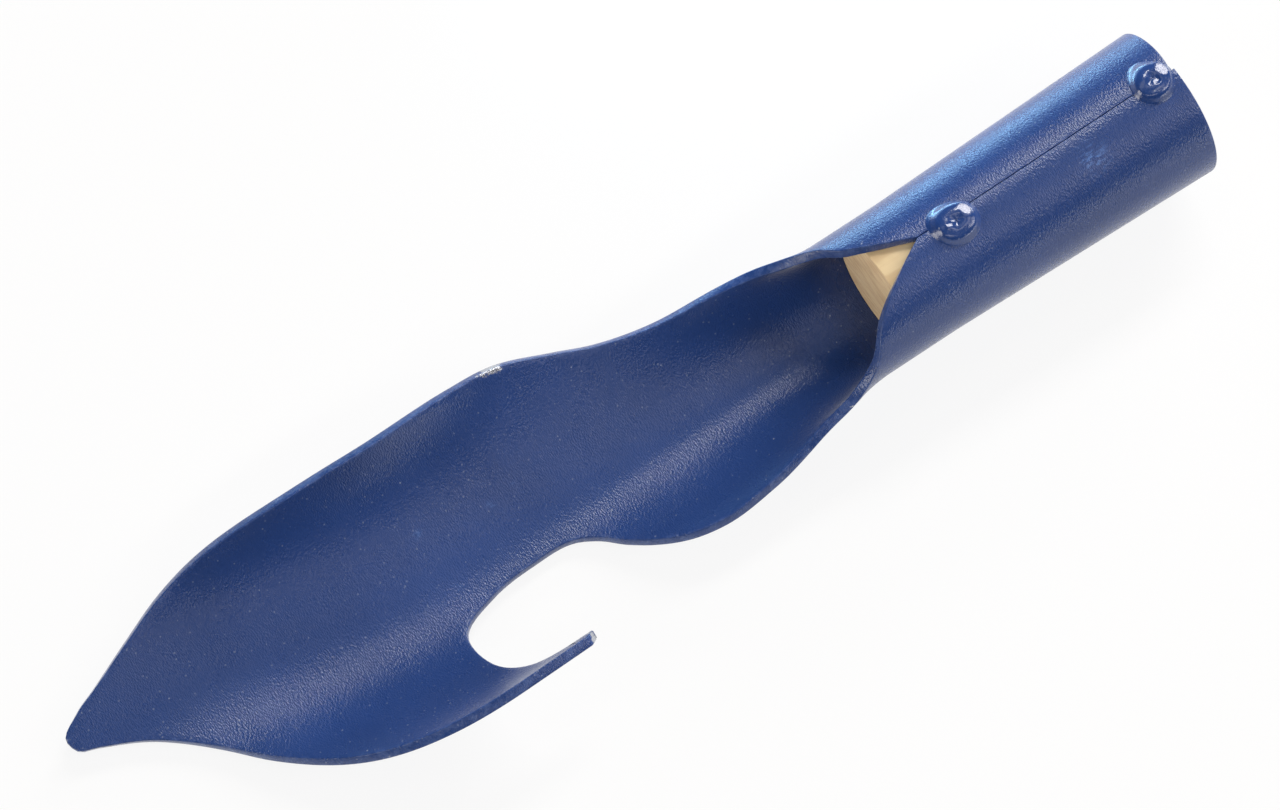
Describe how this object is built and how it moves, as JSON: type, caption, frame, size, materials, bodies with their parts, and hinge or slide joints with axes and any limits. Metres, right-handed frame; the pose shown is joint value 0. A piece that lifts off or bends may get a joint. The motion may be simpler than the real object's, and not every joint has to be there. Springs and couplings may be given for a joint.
{
  "type": "long-handled weeder",
  "caption": "Head of a long-handled weeder: pointed pressed blade with a hook notch, rolled socket and the wooden handle's end.",
  "frame": {"origin": "centre of the socket's mouth, on the handle's cut face", "axes": "+X out of the mouth along the handle, +Z out of the trough on the seam's side, the hook on the -Y side"},
  "size_m": [0.2474, 0.0598, 0.0354],
  "materials": {
    "blue_coat": "dark blue powder coat with a fine leathery grain, half gloss",
    "pale_wood": "bare pale ash, straight grain",
    "zinc_screw": "bright zinc plate"
  },
  "bodies": {
    "root": {"blade_and_socket": "blue_coat", "seam_weld_throat": "blue_coat", "seam_weld_mouth": "blue_coat", "handle_end": "pale_wood", "handle_screw": "zinc_screw"}
  },
  "joints": []
}
